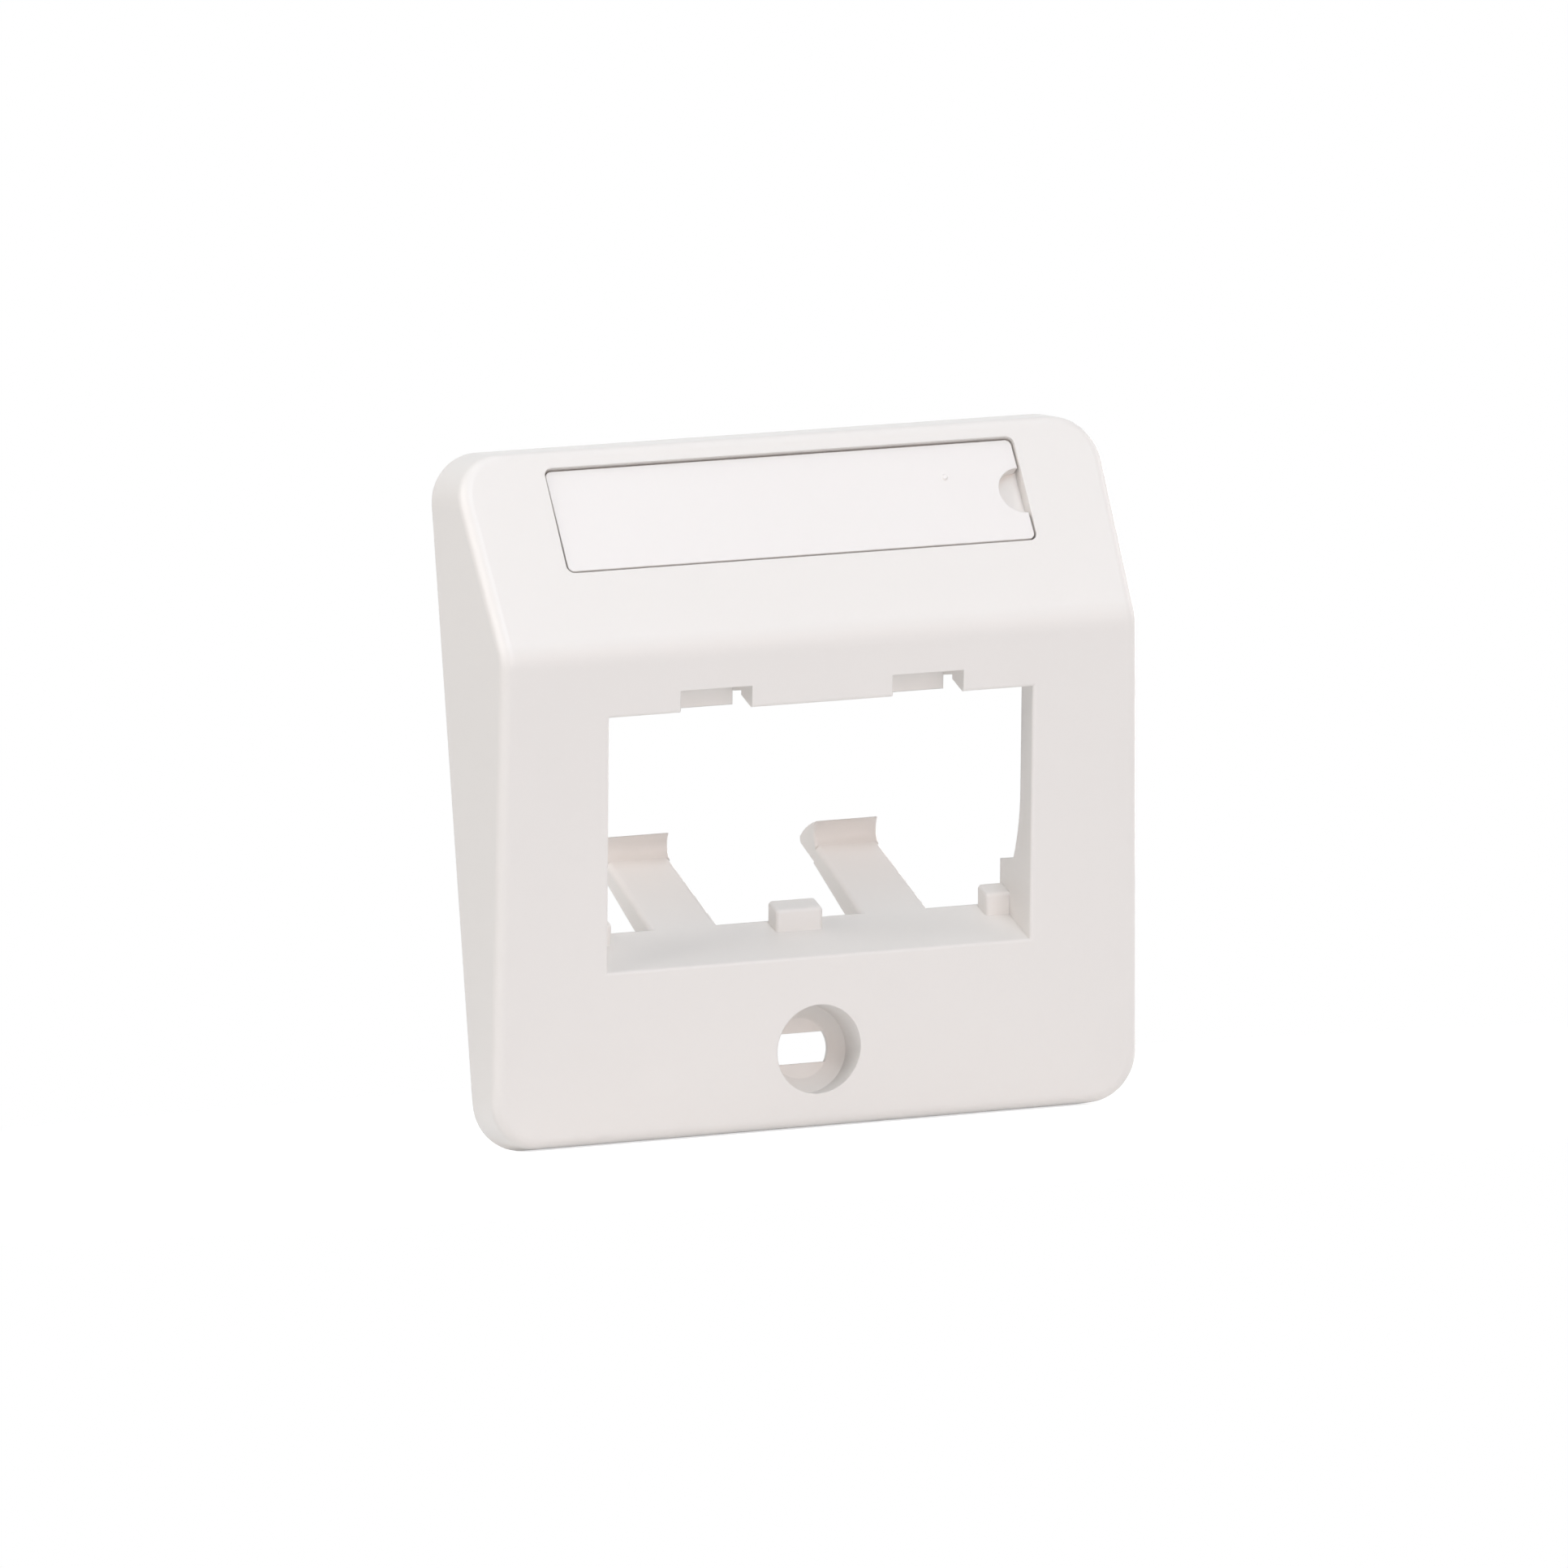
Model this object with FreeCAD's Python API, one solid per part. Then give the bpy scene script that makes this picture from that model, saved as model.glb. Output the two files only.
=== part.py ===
import FreeCAD, Part
import math
import os
from FreeCAD import Vector

os.makedirs("parts", exist_ok=True)

# Keystone faceplate: a square centre plate that holds two snap-in jacks, and its label insert.
# The plate is one moulding. Its front leans forward, so the jacks look down, and a slope above
# them carries the label. X runs across, +Y goes into the wall and +Z is up. The origin is the
# centre of the square rear rim, on the plane that lies against the wall.

# Outer form
plate_size = 50.0
bottom_depth = 3.2        # rear rim to the front face, at the lower edge
fold_height = 35.35       # lower edge to the fold between front and slope
fold_depth = 10.85
top_depth = 3.8
side_draft = 3.8          # degrees, all round
corner_radius = 3.55
inner_corner = 1.8        # the same corner in the hollow
fold_radius = 2.75
rim_radius = 0.9          # soft edge round the front
wall = 2.2

# Opening for the two jacks
opening_width = 32.4
sill_height = 12.65       # measured up the front face
opening_height = 18.55
sill_lean = 13.6          # degrees that the ledge rises above square to the front
head_lean = 14.4          # degrees that the top of the opening rises
opening_reach = 2.6       # how deep it is cut
opening_edge = 0.25       # softened front edge
jack_pitch = 16.2

# Frame behind the opening, measured square to the front face
frame_depth = 5.9
frame_start = 0.9         # its parts begin inside the front wall
overlap = 0.5             # how far joined parts run into each other
ledge_thickness = 1.7
cheek_thickness = 1.6
cheek_foot = 9.95
cheek_top = 17.9
cheek_shoulder = 3.4      # depth of the cheek above its step
gusset_top = 23.2

# Stops on the ledge between the jacks
stop_front = 4.0
stop_top = 15.25
stop_rise = 0.4
stop_half_width = 1.8
stop_edge = 0.3

# Catches over each jack
catch_width = 5.45
catch_front = 3.92
catch_tip = 30.7
catch_lead = 0.9          # the tip's lead-in, front to rear
catch_root = 34.6
root_width = 8.0
notch_height = 1.67       # above the head of the opening
root_drop = 0.3           # how far the root hangs below the notch's ceiling

# Spring arms under each jack
arm_angle = 28.8          # degrees above level
arm_length = 10.0
arm_root_width = 5.3
arm_tip_width = 4.9
arm_root_thickness = 1.9
arm_tip_thickness = 1.4
arm_edge = 0.45
hook_height = 1.85
hook_length = 3.2
hook_hollow = 0.4
hook_bulge = 0.24         # outward curve of the hook's back
hook_edge = 0.2
nose_radius = 0.55

# Screw hole
screw_height = 5.7
head_radius = 3.2
head_floor = 1.4          # rear plane to the foot of the head's bore
shank_radius = 2.2
web_thickness = 0.4       # thin webs that keep the screw in the plate
web_gap = 2.2
boss_radius = 4.8

# Label recess and insert
label_length = 36.0
label_foot = 6.3          # measured up the slope from the fold
label_height = 8.35
label_corner = 0.6
insert_thickness = 0.95
insert_sink_top = 0.3     # how deep the insert's face lies below the slope
insert_sink_foot = 0.05
insert_gap = 0.15
insert_end_gap = 0.15
thumb_radius = 1.8
thumb_offset = 0.1        # centre of the thumb notch, below the middle of the recess
gate_across = 12.15       # small raised gate mark on the insert
gate_height = 11.85       # measured up the slope
gate_foot = 0.3           # its radius as far below the insert's face as it rises above
gate_tip = 0.18
gate_rise = 0.12

# Snap tabs of the insert
tongue_length = 0.6
tongue_width = 3.0
nib_width = 1.2
nib_spread = 5.4
nib_length = 0.45
tab_thickness = 0.5
tab_gap = 0.12

half = plate_size / 2
front_angle = math.atan2(fold_depth - bottom_depth, fold_height)
slope_angle = math.atan2(fold_depth - top_depth, plate_size - fold_height)
front_length = fold_height / math.cos(front_angle)
slope_length = (plate_size - fold_height) / math.cos(slope_angle)
past = 3.0                # how far a cut runs past a face
close = 1e-4              # points nearer than this are taken as one


def on_front(up, into):
    """Point (y, z) at a distance up the front face and behind it."""
    y = -bottom_depth - up * math.sin(front_angle) + into * math.cos(front_angle)
    z = -half + up * math.cos(front_angle) + into * math.sin(front_angle)
    return y, z


def behind_front(y, z):
    """Distance of a point behind the front face."""
    return (y + bottom_depth) * math.cos(front_angle) + (z + half) * math.sin(front_angle)


def on_slope(up, into):
    """Point (y, z) at a distance up the label slope from the fold and below it."""
    y = -fold_depth + up * math.sin(slope_angle) + into * math.cos(slope_angle)
    z = fold_height - half + up * math.cos(slope_angle) - into * math.sin(slope_angle)
    return y, z


def profile(x, start, steps):
    """Closed face in the plane X = x. A step is a point, or the middle and end of an arc."""
    def lift(point):
        return Vector(x, point[0], point[1])

    edges = []
    here = start
    for step in list(steps) + [start]:
        if isinstance(step[0], tuple):
            edges.append(Part.Arc(lift(here), lift(step[0]), lift(step[1])).toShape())
            here = step[1]
        elif math.dist(here, step) > close:
            edges.append(Part.LineSegment(lift(here), lift(step)).toShape())
            here = step
    return Part.Face(Part.Wire(edges))


def bar(x_from, x_to, start, *steps):
    """The profile run across the plate from one X to another."""
    return profile(x_from, start, steps).extrude(Vector(x_to - x_from, 0, 0))


def pair(shape):
    """A shape and its mirror image on the other side of the plate's middle."""
    return [shape, shape.mirror(Vector(0, 0, 0), Vector(1, 0, 0))]


def fuse(shapes):
    """One solid out of several that overlap."""
    return shapes[0].multiFuse(shapes[1:]).removeSplitter()


def middle_of(edge):
    """Point halfway along an edge."""
    return edge.valueAt((edge.FirstParameter + edge.LastParameter) / 2)


def rounded_square(size, radius, y):
    """Wire of a square with round corners, in the plane Y = y."""
    reach = size / 2
    flat = reach - radius
    knee = flat + radius * math.sqrt(0.5)
    side = Part.LineSegment(Vector(-flat, y, -reach), Vector(flat, y, -reach)).toShape()
    bend = Part.Arc(Vector(flat, y, -reach), Vector(knee, y, -knee), Vector(reach, y, -flat)).toShape()
    edges = []
    for turn in range(4):
        for edge in (side, bend):
            edges.append(edge.rotated(Vector(0, 0, 0), Vector(0, 1, 0), -90 * turn))
    return Part.Wire(edges)


def tapered_block(inset, radius, rear):
    """Round-cornered block from the rear to past the fold, narrower forward by the draft."""
    lean = math.tan(math.radians(side_draft))
    wires = []
    for y in (rear, -fold_depth - past):
        wires.append(rounded_square(plate_size - 2 * inset + 2 * y * lean, radius, y))
    return Part.makeLoft(wires, True, True)


def front_skin():
    """Side view of the outside, with the fold rounded."""
    bend = (front_angle + slope_angle) / 2
    run = fold_radius * math.tan(bend)
    crown = fold_radius / math.cos(bend) - fold_radius
    rise = (front_angle - slope_angle) / 2
    middle = (-fold_depth + crown * math.cos(rise), fold_height - half + crown * math.sin(rise))
    return bar(-plate_size, plate_size, (0, -half - past), on_front(-past, 0),
               on_front(front_length - run, 0), (middle, on_slope(run, 0)),
               on_slope(slope_length + past, 0), (0, half + past))


def inner_skin():
    """Side view of the hollow: every outer face moved in by the wall."""
    front_lean = math.tan(front_angle)
    slope_lean = math.tan(slope_angle)
    front_shift = wall / math.cos(front_angle)
    slope_shift = wall / math.cos(slope_angle)

    def front_point(height):
        return -bottom_depth - height * front_lean + front_shift, height - half

    def slope_point(height):
        return -fold_depth + (height - fold_height) * slope_lean + slope_shift, height - half

    fold = fold_height + (front_shift - slope_shift) / (front_lean + slope_lean)
    top = plate_size - wall
    return bar(-plate_size, plate_size, (past, wall - half), front_point(wall),
               front_point(fold), slope_point(top), (past, top - half))


def shell():
    """The hollow outer form, open at the rear, with its front edge softened."""
    block = tapered_block(0, corner_radius, 0)
    skin = front_skin()
    body = block.common(skin)
    sides = Part.makeCompound(block.Faces)
    fronts = Part.makeCompound(skin.Faces)
    rim = []
    for edge in body.Edges:
        middle = Part.Vertex(middle_of(edge))
        on_both = max(middle.distToShape(sides)[0], middle.distToShape(fronts)[0]) < close
        if on_both and middle.Y < -close:
            rim.append(edge)
    body = body.makeFillet(rim_radius, rim)
    return body.cut(tapered_block(wall, inner_corner, past).common(inner_skin()))


sill_slope = math.tan(math.radians(sill_lean))
head_slope = math.tan(math.radians(head_lean))
head_height = sill_height + opening_height


def sill(into):
    """Height of the ledge's upper face at a depth behind the front."""
    return sill_height + into * sill_slope


def open_window(body):
    """Cuts the window through the front wall and softens its front edge."""
    side = opening_width / 2
    head = head_height + opening_reach * head_slope
    window = bar(-side, side, on_front(sill(0), 0), on_front(sill(opening_reach), opening_reach),
                 on_front(head, opening_reach), on_front(head_height, 0))
    body = body.cut(window)
    mouth = []
    for edge in body.Edges:
        middle = middle_of(edge)
        on_face = abs(behind_front(middle.y, middle.z)) < close
        if on_face and Part.Vertex(middle).distToShape(window)[0] < close:
            mouth.append(edge)
    return body.makeFillet(opening_edge, mouth)


def ledge():
    """The shelf under the jacks, from the front wall to the end of the frame."""
    side = opening_width / 2 + cheek_thickness / 2
    return bar(-side, side, on_front(sill(frame_start), frame_start),
               on_front(sill(frame_depth), frame_depth),
               on_front(sill(frame_depth) - ledge_thickness, frame_depth),
               on_front(sill(frame_start) - ledge_thickness, frame_start))


def cheek():
    """Side wall of the frame, with a step and a curved gusset up the front wall."""
    inner = opening_width / 2
    drop = gusset_top - cheek_top
    rise = cheek_shoulder - wall
    radius = (drop ** 2 + rise ** 2) / (2 * rise)
    sweep = math.asin(drop / radius) / 2
    bend = on_front(gusset_top - radius * math.sin(sweep), wall + radius * (1 - math.cos(sweep)))
    step = math.tan(front_angle) * (frame_depth - cheek_shoulder)
    return bar(inner, inner + cheek_thickness, on_front(cheek_foot, frame_start),
               on_front(gusset_top, frame_start), on_front(gusset_top, wall),
               (bend, on_front(cheek_top, cheek_shoulder)),
               on_front(cheek_top - step, frame_depth), on_front(cheek_foot, frame_depth))


def stop(x_from, x_to):
    """Block on the rear of the ledge that keeps a jack in its bay."""
    block = bar(x_from, x_to, on_front(sill(stop_front) - overlap, stop_front),
                on_front(stop_top, stop_front), on_front(stop_top + stop_rise, frame_depth),
                on_front(sill(frame_depth) - overlap, frame_depth))
    brow, foot = on_front(stop_top - stop_edge, stop_front + stop_edge)
    rounded = []
    for edge in block.Edges:
        centre = edge.CenterOfMass
        at_end = abs(centre.x - (x_from + x_to) / 2) > close
        if centre.z > foot or (at_end and centre.y < brow):
            rounded.append(edge)
    return block.makeFillet(stop_edge, rounded)


def catch(x):
    """Root block, the notch cut in front of it and the catch itself, for one jack."""
    ceiling = on_front(head_height + notch_height, 0)[1]
    low = head_height - overlap
    high = catch_root - overlap

    def at(into, z):
        up = (z + half - into * math.sin(front_angle)) / math.cos(front_angle)
        return on_front(up, into)

    root = bar(x - root_width / 2, x + root_width / 2, at(frame_start, ceiling - root_drop),
               at(frame_depth, ceiling - root_drop), on_front(catch_root, frame_depth),
               on_front(catch_root, frame_start))
    notch = bar(x - catch_width / 2, x + catch_width / 2, on_front(low, -past),
                on_front(low, catch_front), at(catch_front, ceiling), at(-past, ceiling))
    tooth = bar(x - catch_width / 2, x + catch_width / 2, on_front(catch_tip, catch_front),
                on_front(high, catch_front), on_front(high, frame_depth),
                on_front(catch_tip + catch_lead, frame_depth))
    return root, notch, tooth


def along_arm(run, lift):
    """Point (y, z) at a distance along a spring arm's upper face and above it."""
    tilt = math.radians(arm_angle)
    y, z = on_front(sill(frame_depth), frame_depth)
    y += run * math.cos(tilt) - lift * math.sin(tilt)
    z += run * math.sin(tilt) + lift * math.cos(tilt)
    return y, z


def arm_section(x, run, width, thickness):
    """Cross-section of a spring arm, flat below and rounded at its upper edges."""
    def at(side, drop):
        y, z = along_arm(run, -drop)
        return Vector(x + side, y, z)

    reach = width / 2
    flat = reach - arm_edge
    knee = arm_edge * (1 - math.sqrt(0.5))
    corners = [at(-flat, 0), at(flat, 0), at(reach, arm_edge), at(reach, thickness),
               at(-reach, thickness), at(-reach, arm_edge)]
    edges = [Part.LineSegment(corners[i], corners[i + 1]).toShape() for i in (0, 2, 3, 4)]
    edges.insert(1, Part.Arc(corners[1], at(reach - knee, knee), corners[2]).toShape())
    edges.append(Part.Arc(corners[5], at(knee - reach, knee), corners[0]).toShape())
    return Part.Wire(edges)


def hook(x):
    """Hollow-faced hook on the end of a spring arm, over the arm's full thickness."""
    lean = math.radians(arm_angle) - front_angle
    nose = arm_length + hook_length
    tip = (arm_length + hook_height * math.sin(lean), hook_height * math.cos(lean))
    face = ((arm_length + tip[0]) / 2 + hook_hollow * math.cos(lean),
            tip[1] / 2 - hook_hollow * math.sin(lean))
    brow = (nose, nose_radius - arm_tip_thickness)
    chin = (nose - nose_radius, -arm_tip_thickness)
    bow = nose_radius * math.sqrt(0.5)
    fall = math.atan2(tip[1] - brow[1], brow[0] - tip[0])
    back = ((tip[0] + brow[0]) / 2 + hook_bulge * math.sin(fall),
            (tip[1] + brow[1]) / 2 + hook_bulge * math.cos(fall))
    block = bar(x - arm_tip_width / 2, x + arm_tip_width / 2, along_arm(arm_length, 0),
                (along_arm(*face), along_arm(*tip)), (along_arm(*back), along_arm(*brow)),
                (along_arm(chin[0] + bow, brow[1] - bow), along_arm(*chin)),
                along_arm(arm_length, -arm_tip_thickness))
    foot = along_arm(arm_length, 0)[1]
    rounded = []
    for edge in block.Edges:
        middle = middle_of(edge)
        if middle.z > foot and abs(middle.x - x) > close:
            rounded.append(edge)
    return block.makeFillet(hook_edge, rounded)


def spring_arm(x):
    """Arm that rises from the ledge, narrows, and ends in a hook facing forward."""
    root = arm_section(x, -overlap, arm_root_width, arm_root_thickness)
    end = arm_section(x, arm_length, arm_tip_width, arm_tip_thickness)
    return [Part.makeLoft([root, end], True, True), hook(x)]


def rod(radius, y_from, y_to):
    """Cylinder on the screw's axis."""
    base = Vector(0, y_from, screw_height - half)
    return Part.makeCylinder(radius, y_to - y_from, base, Vector(0, 1, 0))


def screw_hole():
    """Head bore, its cone, and the slot between the two thin webs."""
    head = rod(head_radius, -fold_depth, -head_floor)
    base = Vector(0, -head_floor, screw_height - half)
    depth = head_floor - web_thickness
    cone = Part.makeCone(head_radius, shank_radius, depth, base, Vector(0, 1, 0))
    corner = Vector(-shank_radius, -web_thickness, screw_height - half - web_gap / 2)
    band = Part.makeBox(2 * shank_radius, web_thickness + past, web_gap, corner)
    return [head, cone, rod(shank_radius, -web_thickness, past).common(band)]


label_top = label_foot + label_height
label_middle = label_foot + label_height / 2
insert_lean = (insert_sink_top - insert_sink_foot) / label_height
square_to_slope = Vector(0, math.cos(slope_angle), -math.sin(slope_angle))


def insert_face(up):
    """Depth of the insert's face below the slope."""
    return insert_sink_foot + (up - label_foot) * insert_lean


def floor_at(up):
    """Depth of the recess's floor below the slope."""
    return insert_face(up) + insert_thickness


def round_corners(block, radius):
    """The block with its four edges square to the slope rounded."""
    short = []
    for edge in block.Edges:
        if abs(edge.tangentAt(edge.FirstParameter).dot(square_to_slope)) > 1 - close:
            short.append(edge)
    return block.makeFillet(radius, short)


def label_recess():
    """Pocket in the slope, deepest along its upper edge."""
    side = label_length / 2
    pocket = bar(-side, side, on_slope(label_foot, -past), on_slope(label_foot, floor_at(label_foot)),
                 on_slope(label_top, floor_at(label_top)), on_slope(label_top, -past))
    return round_corners(pocket, label_corner)


def tab(x_from, x_to, up, width, gap):
    """Flat tab on the recess's floor, grown by a gap to make its socket."""
    low = up - width / 2 - gap
    high = up + width / 2 + gap
    rise = tab_thickness + gap
    return bar(x_from, x_to, on_slope(low, floor_at(low)), on_slope(high, floor_at(high)),
               on_slope(high, floor_at(high) - rise), on_slope(low, floor_at(low) - rise))


def tabs(gap):
    """The tongue at the insert's left end and the two nibs at its right."""
    end = label_length / 2 - insert_end_gap
    inside = end - overlap
    shapes = [tab(-end - tongue_length - gap, -inside, label_middle, tongue_width, gap)]
    for sign in (-1, 1):
        up = label_middle + sign * nib_spread / 2
        shapes.append(tab(inside, end + nib_length + gap, up, nib_width, gap))
    return shapes


def faceplate():
    """The whole moulding."""
    jacks = (-jack_pitch / 2, jack_pitch / 2)
    roots, notches, teeth = zip(*[catch(x) for x in jacks])
    boss = rod(boss_radius, -bottom_depth, 0)
    body = fuse([open_window(shell()), ledge(), boss] + pair(cheek()) + list(roots))
    behind = Part.makeBox(2 * plate_size, plate_size, 2 * plate_size,
                          Vector(-plate_size, 0, -plate_size))
    cuts = list(notches) + screw_hole() + [label_recess()] + tabs(tab_gap)
    body = body.cut(Part.makeCompound(cuts)).cut(behind)
    corner = jack_pitch - stop_half_width
    stops = [stop(-stop_half_width, stop_half_width)]
    stops += pair(stop(corner, opening_width / 2 + cheek_thickness / 2))
    arms = [piece for x in jacks for piece in spring_arm(x)]
    return fuse([body] + stops + list(teeth) + arms)


def label_insert():
    """Snap-in label strip with a thumb notch at its right end."""
    side = label_length / 2 - insert_end_gap
    low = label_foot + insert_gap
    high = label_top - insert_gap
    strip = bar(-side, side, on_slope(low, floor_at(low)), on_slope(high, floor_at(high)),
                on_slope(high, insert_face(high)), on_slope(low, insert_face(low)))
    strip = round_corners(strip, label_corner - insert_gap)
    y, z = on_slope(label_middle - thumb_offset, -past)
    thumb = Part.makeCylinder(thumb_radius, 3 * past, Vector(side, y, z), square_to_slope)
    y, z = on_slope(gate_height, insert_face(gate_height) + gate_rise)
    gate = Part.makeCone(gate_foot, gate_tip, 2 * gate_rise, Vector(gate_across, y, z),
                         -1 * square_to_slope)
    return fuse([strip, gate] + tabs(0)).cut(thumb)


for node, shape in (("faceplate", faceplate()), ("label_insert", label_insert())):
    print(node, "solids", len(shape.Solids), "valid", shape.isValid(), "volume", round(shape.Volume, 1))
    shape.exportStep("parts/" + node + ".step")
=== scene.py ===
import bmesh
import bpy
from mathutils import Matrix, Vector


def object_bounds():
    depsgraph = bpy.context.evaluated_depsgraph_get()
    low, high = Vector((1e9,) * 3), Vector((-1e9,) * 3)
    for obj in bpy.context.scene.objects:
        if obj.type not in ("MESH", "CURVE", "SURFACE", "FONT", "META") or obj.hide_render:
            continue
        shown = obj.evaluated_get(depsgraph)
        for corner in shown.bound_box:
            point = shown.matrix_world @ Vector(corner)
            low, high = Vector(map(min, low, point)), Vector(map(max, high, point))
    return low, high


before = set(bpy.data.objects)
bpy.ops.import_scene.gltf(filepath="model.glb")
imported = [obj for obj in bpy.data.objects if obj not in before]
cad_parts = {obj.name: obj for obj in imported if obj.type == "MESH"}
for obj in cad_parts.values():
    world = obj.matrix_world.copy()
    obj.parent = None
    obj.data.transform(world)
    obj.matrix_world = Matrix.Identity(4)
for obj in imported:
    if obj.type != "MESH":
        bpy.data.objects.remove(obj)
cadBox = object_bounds()
print("frame loaded", sorted(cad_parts))


def linearColour(hexText):
    # sRGB hex to the linear values that the shaders take
    channels = [int(hexText[i:i + 2], 16) / 255 for i in (1, 3, 5)]
    linear = [c / 12.92 if c <= 0.04045 else ((c + 0.055) / 1.055) ** 2.4 for c in channels]
    return linear + [1.0]


def addNode(tree, kind, settings=None, inputs=None, links=None):
    # settings are the node's properties, inputs its fixed values and links its sources
    node = tree.nodes.new(kind)
    for name, value in (settings or {}).items():
        setattr(node, name, value)
    for name, value in (inputs or {}).items():
        node.inputs[name].default_value = value
    for name, source in (links or {}).items():
        tree.links.new(source, node.inputs[name])
    return node


def newTree(name):
    material = bpy.data.materials.new(name)
    material.use_nodes = True
    material.node_tree.nodes.clear()
    return material, material.node_tree


def perMetre(millimetres):
    # noise scale for features of this width, on Object coordinates
    return 1000.0 / millimetres


def metres(millimetres):
    return millimetres / 1000


# Satin white ABS with a faint grain: both are guesses from the look of the photo. The colours and the
# gloss were tuned together with the lamps below, against tones of the photo.
plateLook = {
    "light": "#EBE7E3",
    "dark": "#E8E4E0",
    "driftMm": 15.0,           # slow change of tone along the melt's flow
    "driftDetail": 3.0,
    "driftRoughness": 0.5,
    "grainMm": 0.18,           # guessed, not measured
    "grainDetail": 2.0,
    "grainRoughness": 0.6,
    "grainDepthMm": 0.001,
    "grainStrength": 0.6,
    "grainLow": 0.3,           # the grain's noise lies nearly all between these two
    "grainHigh": 0.7,
    "smooth": 0.34,            # the surface's roughness where the grain is low
    "rough": 0.42,             # and where it is high
    "edgeMm": 0.12,            # a moulding has no sharper edge than this
    "edgeSamples": 6,
    "ior": 1.53,
}

# The label strip: the same finish, a shade lighter and a little glossier, as it looks in the photo
insertLook = dict(
    plateLook,
    light="#EEEAE7",
    dark="#ECE8E5",
    grainDepthMm=0.0002,
    smooth=0.32,
    rough=0.38,
)


def mouldedAbs(look, name):
    material, tree = newTree(name)
    place = addNode(tree, "ShaderNodeTexCoord")
    drift = addNode(tree, "ShaderNodeTexNoise",
                    inputs={"Scale": perMetre(look["driftMm"]), "Detail": look["driftDetail"],
                            "Roughness": look["driftRoughness"]},
                    links={"Vector": place.outputs["Object"]})
    # a mix of colours has its factor at socket 0 and its two colours at 6 and 7
    tone = addNode(tree, "ShaderNodeMix", {"data_type": "RGBA"},
                   inputs={6: linearColour(look["dark"]), 7: linearColour(look["light"])},
                   links={0: drift.outputs["Fac"]})
    grain = addNode(tree, "ShaderNodeTexNoise",
                    inputs={"Scale": perMetre(look["grainMm"]), "Detail": look["grainDetail"],
                            "Roughness": look["grainRoughness"]},
                    links={"Vector": place.outputs["Object"]})
    sheen = addNode(tree, "ShaderNodeMapRange",
                    inputs={"From Min": look["grainLow"], "From Max": look["grainHigh"],
                            "To Min": look["smooth"], "To Max": look["rough"]},
                    links={"Value": grain.outputs["Fac"]})
    edge = addNode(tree, "ShaderNodeBevel", {"samples": look["edgeSamples"]},
                   inputs={"Radius": metres(look["edgeMm"])})
    bump = addNode(tree, "ShaderNodeBump",
                   inputs={"Strength": look["grainStrength"], "Distance": metres(look["grainDepthMm"])},
                   links={"Height": grain.outputs["Fac"], "Normal": edge.outputs["Normal"]})
    shader = addNode(tree, "ShaderNodeBsdfPrincipled", inputs={"IOR": look["ior"]},
                     links={"Base Color": tone.outputs[2], "Roughness": sheen.outputs["Result"],
                            "Normal": bump.outputs["Normal"]})
    addNode(tree, "ShaderNodeOutputMaterial", links={"Surface": shader.outputs["BSDF"]})
    return material


plateAbs = mouldedAbs(plateLook, "satinAbsPlate")
insertAbs = mouldedAbs(insertLook, "polishedAbsInsert")
for nodeName, finish in (("faceplate", plateAbs), ("label_insert", insertAbs)):
    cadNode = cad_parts[nodeName]
    for materialSlot in cadNode.material_slots:
        materialSlot.material = finish
print("finishes on")


def directlySeen(tree):
    # 1 for the rays that show a surface to the viewer, also by a reflection or through glass
    path = addNode(tree, "ShaderNodeLightPath")
    first = addNode(tree, "ShaderNodeMath", {"operation": "MAXIMUM"},
                    links={0: path.outputs["Is Camera Ray"], 1: path.outputs["Is Glossy Ray"]})
    seen = addNode(tree, "ShaderNodeMath", {"operation": "MAXIMUM"},
                   links={0: first.outputs[0], 1: path.outputs["Is Transmission Ray"]})
    return seen.outputs[0]


# Floor: matt white paper, shaded close to the plate and plain white farther off. In the main view no
# shade shows under the plate's lower edge, where the photo has a faint one.
floorLook = {
    "size": 4.0,               # metres
    "colour": "#F4F4F4",
    "lift": 0.7,               # what the paper adds towards the viewer
    "nearMm": 30.0,            # the shaded part reaches this far from the plate's middle
    "farMm": 110.0,            # and has gone to white by here
}


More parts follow.
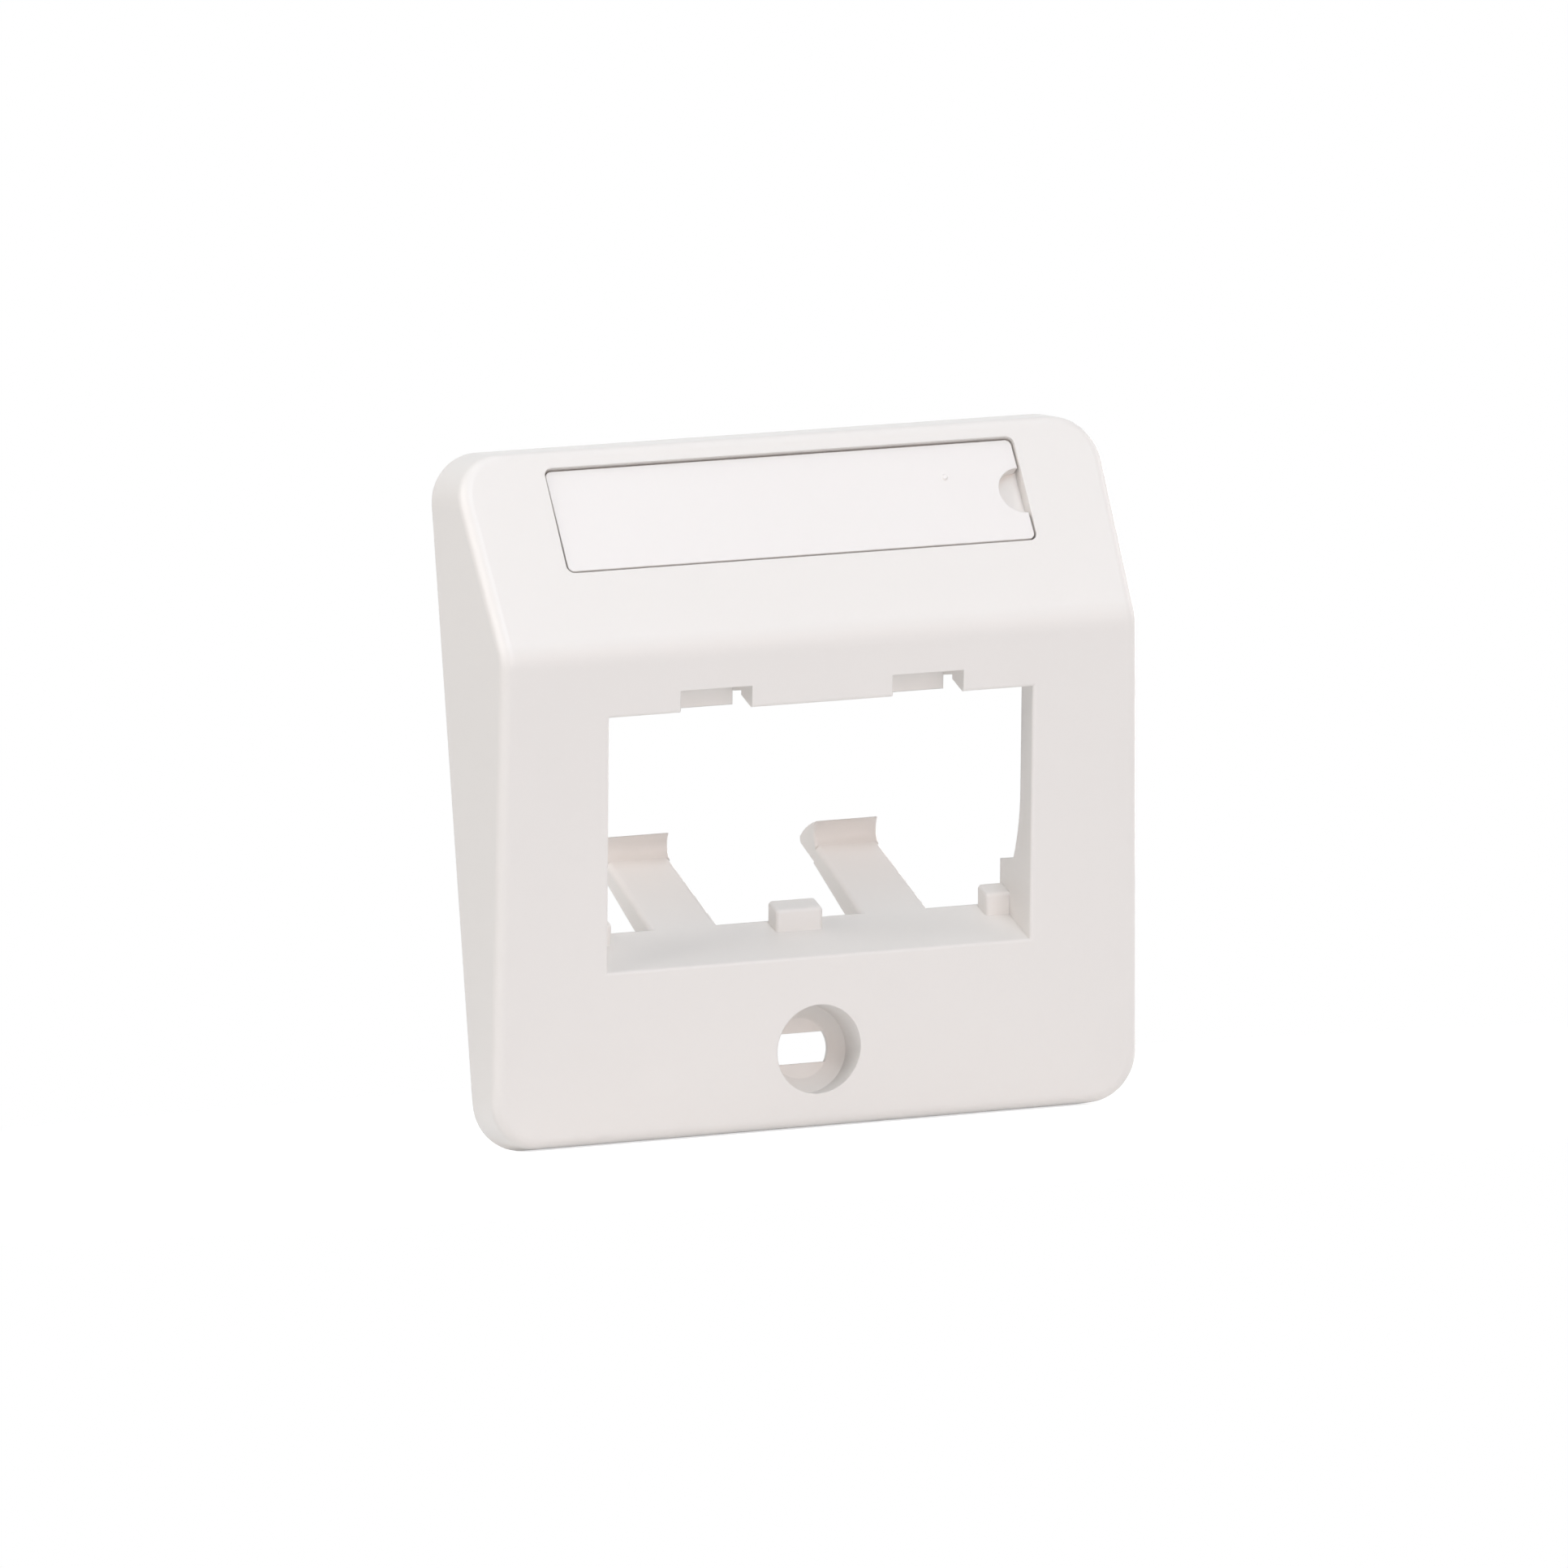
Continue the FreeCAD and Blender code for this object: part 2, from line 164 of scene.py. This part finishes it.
def paperFloor(look):
    bm = bmesh.new()
    bmesh.ops.create_grid(bm, x_segments=1, y_segments=1, size=look["size"] / 2)
    bmesh.ops.translate(bm, verts=bm.verts, vec=(0, 0, cadBox[0][2]))
    mesh = bpy.data.meshes.new("floor")
    bm.to_mesh(mesh)
    bm.free()
    floor = bpy.data.objects.new("floor", mesh)
    bpy.context.scene.collection.objects.link(floor)
    material, tree = newTree("whitePaper")
    seen = directlySeen(tree)
    matt = addNode(tree, "ShaderNodeBsdfDiffuse", inputs={"Color": linearColour(look["colour"])})
    lift = addNode(tree, "ShaderNodeMath", {"operation": "MULTIPLY"},
                   inputs={1: look["lift"]}, links={0: seen})
    shine = addNode(tree, "ShaderNodeEmission", links={"Strength": lift.outputs[0]})
    shaded = addNode(tree, "ShaderNodeAddShader", links={0: matt.outputs[0], 1: shine.outputs[0]})
    white = addNode(tree, "ShaderNodeEmission", inputs={"Strength": 1.0})
    # how far a point of the floor lies from the plate's middle, its height left out
    place = addNode(tree, "ShaderNodeTexCoord")
    flat = addNode(tree, "ShaderNodeVectorMath", {"operation": "MULTIPLY"},
                   inputs={1: (1.0, 1.0, 0.0)}, links={0: place.outputs["Object"]})
    reach = addNode(tree, "ShaderNodeVectorMath", {"operation": "LENGTH"},
                    links={0: flat.outputs[0]})
    fade = addNode(tree, "ShaderNodeMapRange", {"interpolation_type": "SMOOTHSTEP"},
                   inputs={"From Min": metres(look["nearMm"]), "From Max": metres(look["farMm"])},
                   links={"Value": reach.outputs["Value"]})
    plain = addNode(tree, "ShaderNodeMath", {"operation": "MULTIPLY"},
                    links={0: seen, 1: fade.outputs["Result"]})
    paper = addNode(tree, "ShaderNodeMixShader",
                    links={0: plain.outputs[0], 1: shaded.outputs[0], 2: white.outputs[0]})
    addNode(tree, "ShaderNodeOutputMaterial", links={"Surface": paper.outputs[0]})
    mesh.materials.append(material)


paperFloor(floorLook)
print("floor down")

# Light: soft square panels round the plate and a faint fill from a white room. Places and sizes are in
# metres. How the photo was lit isn't known: the watts and colours come from fits to tones read at
# patches of it and last changes, and the back panel lights the side that it doesn't show. The
# plate is one plastic: the cool high panel and the warm front one make its slope look whiter.
roomLook = {"colour": "#FFFFFF", "strength": 0.03}
panels = {
    "frontPanel": {"at": (0.0, -1.09, 0.15), "size": 0.6, "watts": 4.35, "colour": "#FFEDE8"},
    "highFrontPanel": {"at": (0.0, -0.78, 0.78), "size": 0.6, "watts": 4.1, "colour": "#E5F5FF"},
    "leftPanel": {"at": (-0.9, -0.08, 0.63), "size": 0.8, "watts": 6.5, "colour": "#FFFBF8"},
    "rightPanel": {"at": (1.03, -0.09, 0.38), "size": 0.8, "watts": 3.8, "colour": "#FFF8F6"},
    "overheadPanel": {"at": (0.0, -0.05, 1.1), "size": 0.8, "watts": 3.1, "colour": "#F0F6FF"},
    "backPanel": {"at": (0.8, 0.8, 0.08), "size": 0.4, "watts": 5.0, "colour": "#FFFFFF"},
}


def whiteRoom(look):
    world = bpy.data.worlds.new("whiteRoom")
    world.use_nodes = True
    tree = world.node_tree
    tree.nodes.clear()
    seen = directlySeen(tree)
    light = addNode(tree, "ShaderNodeBackground",
                    inputs={"Color": linearColour(look["colour"]), "Strength": look["strength"]})
    # the viewer sees plain white, whatever light the room gives
    white = addNode(tree, "ShaderNodeBackground",
                    inputs={"Color": linearColour("#FFFFFF"), "Strength": 1.0})
    mix = addNode(tree, "ShaderNodeMixShader", links={0: seen, 1: light.outputs[0], 2: white.outputs[0]})
    addNode(tree, "ShaderNodeOutputWorld", links={"Surface": mix.outputs[0]})
    bpy.context.scene.world = world


def softPanel(name, look):
    lamp = bpy.data.lights.new(name, "AREA")
    lamp.shape = "SQUARE"
    lamp.size = look["size"]
    lamp.energy = look["watts"]
    lamp.color = linearColour(look["colour"])[:3]
    panel = bpy.data.objects.new(name, lamp)
    panel.location = look["at"]
    towardsPlate = -Vector(look["at"])
    panel.rotation_euler = towardsPlate.to_track_quat("-Z", "Y").to_euler()
    bpy.context.scene.collection.objects.link(panel)


whiteRoom(roomLook)
for panelName, panelLook in panels.items():
    softPanel(panelName, panelLook)
print("light set")

# View: a long lens in front, a little to the left and above. One fit to edges and corners in the photo
# gave both these numbers and the plate's main sizes, so the real lens and distance aren't known.
view = {
    "at": (-0.44853, -1.18609, 0.03205),           # metres
    "towards": (0.35385, 0.93496, -0.02549),
    "up": (0.07199, -0.00005, 0.99741),
    "lensMm": 405.3,
    "sensorMm": 36.0,
    "nearest": 0.01,           # metres, what the lens shows lies between these two
    "farthest": 20.0,
}


def longLens(look):
    data = bpy.data.cameras.new("camera")
    data.lens = look["lensMm"]
    data.sensor_width = look["sensorMm"]
    data.clip_start = look["nearest"]
    data.clip_end = look["farthest"]
    camera = bpy.data.objects.new("camera", data)
    back = -Vector(look["towards"]).normalized()
    right = Vector(look["up"]).cross(back).normalized()
    up = back.cross(right)
    turn = Matrix((right, up, back)).transposed()
    camera.matrix_world = Matrix.Translation(look["at"]) @ turn.to_4x4()
    bpy.context.scene.collection.objects.link(camera)
    bpy.context.scene.camera = camera


longLens(view)
bpy.context.scene.view_settings.view_transform = "Standard"
print("view set")
